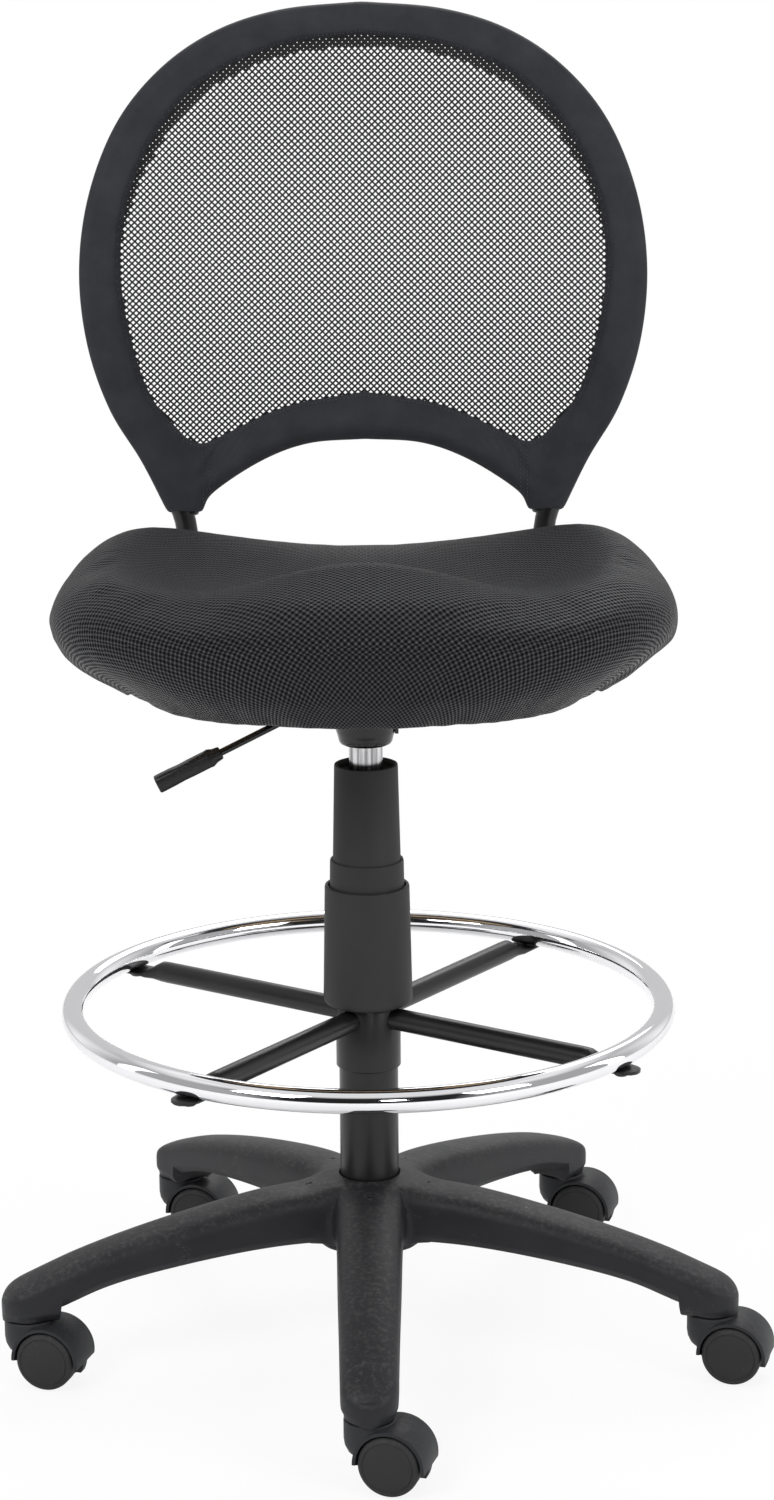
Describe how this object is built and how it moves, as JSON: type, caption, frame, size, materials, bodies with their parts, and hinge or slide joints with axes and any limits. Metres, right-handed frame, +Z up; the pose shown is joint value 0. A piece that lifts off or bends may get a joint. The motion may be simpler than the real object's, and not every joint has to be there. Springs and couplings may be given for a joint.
{
  "type": "drafting chair",
  "caption": "Armless drafting chair: five-arm caster base, gas lift, chrome foot ring, round padded seat and a net back on a bent tube frame.",
  "frame": {"origin": "on the floor, under the middle of the whole chair", "axes": "+Z up along the height, -Y to the front of the seat, +X to the right as seen from the front"},
  "size_m": [0.643, 0.6564, 1.1106],
  "materials": {
    "nylon_black": "fine moulded grain, matte",
    "plastic_charcoal": "smooth satin moulding",
    "tread_black": "smooth matte nylon tread",
    "steel_black": "satin black powder coat",
    "chrome": "bright mirror plating",
    "zinc": "bright zinc plating",
    "bearing_white": "natural acetal",
    "wood": "plain plywood",
    "seat_fabric": "black spacer knit with a diamond net face",
    "back_knit": "charcoal black matte knit",
    "back_net": "open black net"
  },
  "bodies": {
    "base": {"base_star": "nylon_black", "column_tube": "steel_black", "guide_bush": "bearing_white", "thrust_bearing": "zinc", "retaining_clip": "zinc", "piston_rod": "zinc", "cover_upper": "plastic_charcoal", "cover_middle": "plastic_charcoal", "caster_stem_1": "zinc", "caster_stem_2": "zinc", "caster_stem_3": "zinc", "caster_stem_4": "zinc", "caster_stem_5": "zinc"},
    "foot_ring": {"foot_ring_hoop": "chrome", "foot_ring_spider": "steel_black", "cover_lower": "plastic_charcoal", "foot_ring_screw_1": "steel_black", "foot_ring_screw_2": "steel_black", "foot_ring_screw_3": "steel_black", "foot_ring_screw_4": "steel_black"},
    "ring_knob": {"foot_ring_lock_knob": "plastic_charcoal"},
    "lift": {"pressure_cylinder": "chrome"},
    "valve": {"valve_pin": "zinc"},
    "seat": {"seat_board": "wood", "seat_cushion": "seat_fabric", "seat_plate": "steel_black", "back_frame": "steel_black", "back_cover_front": "back_knit", "back_cover_rear": "back_knit", "back_net": "back_net", "plate_bolt_1": "zinc", "plate_bolt_2": "zinc", "plate_bolt_3": "zinc", "plate_bolt_4": "zinc", "back_bolt_1": "zinc", "back_bolt_2": "zinc", "back_bolt_3": "zinc", "back_bolt_4": "zinc"},
    "lever": {"lever_rod": "steel_black", "lever_paddle": "plastic_charcoal"},
    "caster_1": {"caster_housing_1": "nylon_black"},
    "wheels_1": {"caster_axle_1": "zinc", "caster_wheel_left_1": "tread_black", "caster_wheel_right_1": "tread_black"},
    "caster_2": {"caster_housing_2": "nylon_black"},
    "wheels_2": {"caster_axle_2": "zinc", "caster_wheel_left_2": "tread_black", "caster_wheel_right_2": "tread_black"},
    "caster_3": {"caster_housing_3": "nylon_black"},
    "wheels_3": {"caster_axle_3": "zinc", "caster_wheel_left_3": "tread_black", "caster_wheel_right_3": "tread_black"},
    "caster_4": {"caster_housing_4": "nylon_black"},
    "wheels_4": {"caster_axle_4": "zinc", "caster_wheel_left_4": "tread_black", "caster_wheel_right_4": "tread_black"},
    "caster_5": {"caster_housing_5": "nylon_black"},
    "wheels_5": {"caster_axle_5": "zinc", "caster_wheel_left_5": "tread_black", "caster_wheel_right_5": "tread_black"}
  },
  "joints": [
    {"name": "caster_swivel_1", "type": "hinge", "parent": "base", "child": "caster_1", "pos_m": [-0.01518, -0.294, 0.056], "axis": [0, 0, 1], "continuous": true},
    {"name": "wheel_roll_1", "type": "hinge", "parent": "caster_1", "child": "wheels_1", "pos_m": [0.00442, -0.3, 0.0248], "axis": [0.2924, 0.9563, 0], "continuous": true},
    {"name": "caster_swivel_2", "type": "hinge", "parent": "base", "child": "caster_2", "pos_m": [0.26852, -0.08788, 0.056], "axis": [0, 0, 1], "continuous": true},
    {"name": "wheel_roll_2", "type": "hinge", "parent": "caster_2", "child": "wheels_2", "pos_m": [0.28812, -0.09388, 0.0248], "axis": [0.2924, 0.9563, 0], "continuous": true},
    {"name": "caster_swivel_3", "type": "hinge", "parent": "base", "child": "caster_3", "pos_m": [0.16015, 0.24563, 0.056], "axis": [0, 0, 1], "continuous": true},
    {"name": "wheel_roll_3", "type": "hinge", "parent": "caster_3", "child": "wheels_3", "pos_m": [0.17976, 0.23963, 0.0248], "axis": [0.2924, 0.9563, 0], "continuous": true},
    {"name": "caster_swivel_4", "type": "hinge", "parent": "base", "child": "caster_4", "pos_m": [-0.19052, 0.24563, 0.056], "axis": [0, 0, 1], "continuous": true},
    {"name": "wheel_roll_4", "type": "hinge", "parent": "caster_4", "child": "wheels_4", "pos_m": [-0.17092, 0.23963, 0.0248], "axis": [0.2924, 0.9563, 0], "continuous": true},
    {"name": "caster_swivel_5", "type": "hinge", "parent": "base", "child": "caster_5", "pos_m": [-0.29888, -0.08788, 0.056], "axis": [0, 0, 1], "continuous": true},
    {"name": "wheel_roll_5", "type": "hinge", "parent": "caster_5", "child": "wheels_5", "pos_m": [-0.27928, -0.09388, 0.0248], "axis": [0.2924, 0.9563, 0], "continuous": true},
    {"name": "foot_ring_slide", "type": "slide", "parent": "base", "child": "foot_ring", "axis": [0, 0, 1], "range_m": [-0.06, 0]},
    {"name": "ring_lock_turn", "type": "hinge", "parent": "foot_ring", "child": "ring_knob", "pos_m": [-0.01518, 0.0043, 0.2587], "axis": [0, 1, 0], "range_deg": [0, 360]},
    {"name": "seat_lift", "type": "slide", "parent": "base", "child": "lift", "axis": [0, 0, 1], "range_m": [0, 0.127]},
    {"name": "seat_swivel", "type": "hinge", "parent": "lift", "child": "seat", "pos_m": [-0.01518, 0.0043, 0.54], "axis": [0, 0, 1], "continuous": true},
    {"name": "valve_press", "type": "slide", "parent": "lift", "child": "valve", "axis": [0, 0, -1], "range_m": [0, 0.0045]},
    {"name": "lever_lift", "type": "hinge", "parent": "seat", "child": "lever", "pos_m": [-0.05518, -0.0017, 0.556], "axis": [0, 1, 0], "range_deg": [0, 6], "stiffness_Nm_per_rad": 2, "springref_deg": -5.73}
  ],
  "couplings": [
    {"joint": "valve_press", "follows": "lever_lift", "m_per_rad": 0.04}
  ]
}
